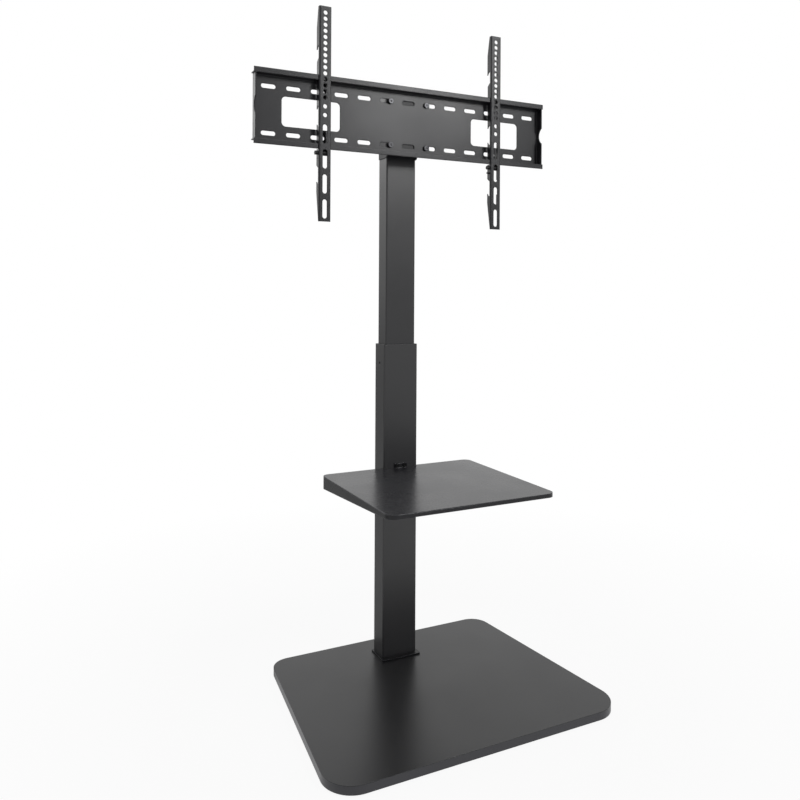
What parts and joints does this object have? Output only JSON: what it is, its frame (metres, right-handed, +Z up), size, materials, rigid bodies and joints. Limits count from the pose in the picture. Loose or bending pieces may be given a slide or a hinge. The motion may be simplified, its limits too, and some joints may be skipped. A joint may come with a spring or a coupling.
{
  "type": "tv stand with mount",
  "caption": "Floor stand for a flat screen: wide flat base, telescopic column, cantilevered shelf, and a slotted rail plate with sliding hook-on arms.",
  "frame": {"origin": "centre of the footprint on the floor, under the glides", "axes": "+Z up; -Y is the front, towards the viewer of the screen; +X to the right seen from the front"},
  "size_m": [0.665, 0.454, 1.345],
  "materials": {
    "base_laminate": "black laminate over fibreboard, satin",
    "glides": "black moulded plastic",
    "foot_coat": "black powder coat, satin",
    "hidden_fasteners": "zinc-plated steel",
    "lower_coat": "black powder coat, satin",
    "guide_plastic": "black moulded plastic",
    "black_fasteners": "black-oxide steel",
    "upper_coat": "black powder coat, satin",
    "bracket_coat": "black powder coat, satin",
    "rail_coat": "black powder coat, satin",
    "arm_coat": "black powder coat, satin",
    "latch_steel": "black-oxide steel",
    "shelf_coat": "black powder coat, satin"
  },
  "bodies": {
    "base": {"base_board": "base_laminate", "floor_glides": "glides", "foot_plate": "foot_coat", "foot_bolts": "hidden_fasteners", "foot_washers": "hidden_fasteners", "foot_nuts": "hidden_fasteners", "lower_column": "lower_coat", "column_guide": "guide_plastic", "lock_nuts": "hidden_fasteners", "lock_screws": "black_fasteners", "shelf_tray": "shelf_coat", "shelf_gussets": "shelf_coat", "shelf_screws": "black_fasteners", "shelf_inserts": "hidden_fasteners"},
    "mast": {"upper_column": "upper_coat", "mast_glide": "guide_plastic", "mast_cap": "guide_plastic", "head_bracket": "bracket_coat", "bracket_nuts": "hidden_fasteners", "rail_plate": "rail_coat", "rail_screws": "black_fasteners", "rail_washers": "black_fasteners"},
    "left_arm": {"left_arm": "arm_coat", "left_latch_bolt": "black_fasteners", "left_latch_nut": "black_fasteners", "left_stop_pin": "black_fasteners"},
    "right_arm": {"right_arm": "arm_coat", "right_latch_bolt": "black_fasteners", "right_latch_nut": "black_fasteners", "right_stop_pin": "black_fasteners"},
    "left_latch": {"left_latch": "latch_steel"},
    "right_latch": {"right_latch": "latch_steel"}
  },
  "joints": [
    {"name": "mast_height", "type": "slide", "parent": "base", "child": "mast", "axis": [0, 0, 1], "range_m": [0, 0.12]},
    {"name": "left_arm_slide", "type": "slide", "parent": "mast", "child": "left_arm", "axis": [1, 0, 0], "range_m": [-0.1085, 0.1275]},
    {"name": "right_arm_slide", "type": "slide", "parent": "mast", "child": "right_arm", "axis": [1, 0, 0], "range_m": [-0.1405, 0.0955]},
    {"name": "left_latch_turn", "type": "hinge", "parent": "left_arm", "child": "left_latch", "pos_m": [-0.1915, 0.0923, 1.059], "axis": [-1, 0, 0], "range_deg": [0, 80]},
    {"name": "right_latch_turn", "type": "hinge", "parent": "right_arm", "child": "right_latch", "pos_m": [0.2045, 0.0923, 1.059], "axis": [-1, 0, 0], "range_deg": [0, 80]}
  ]
}
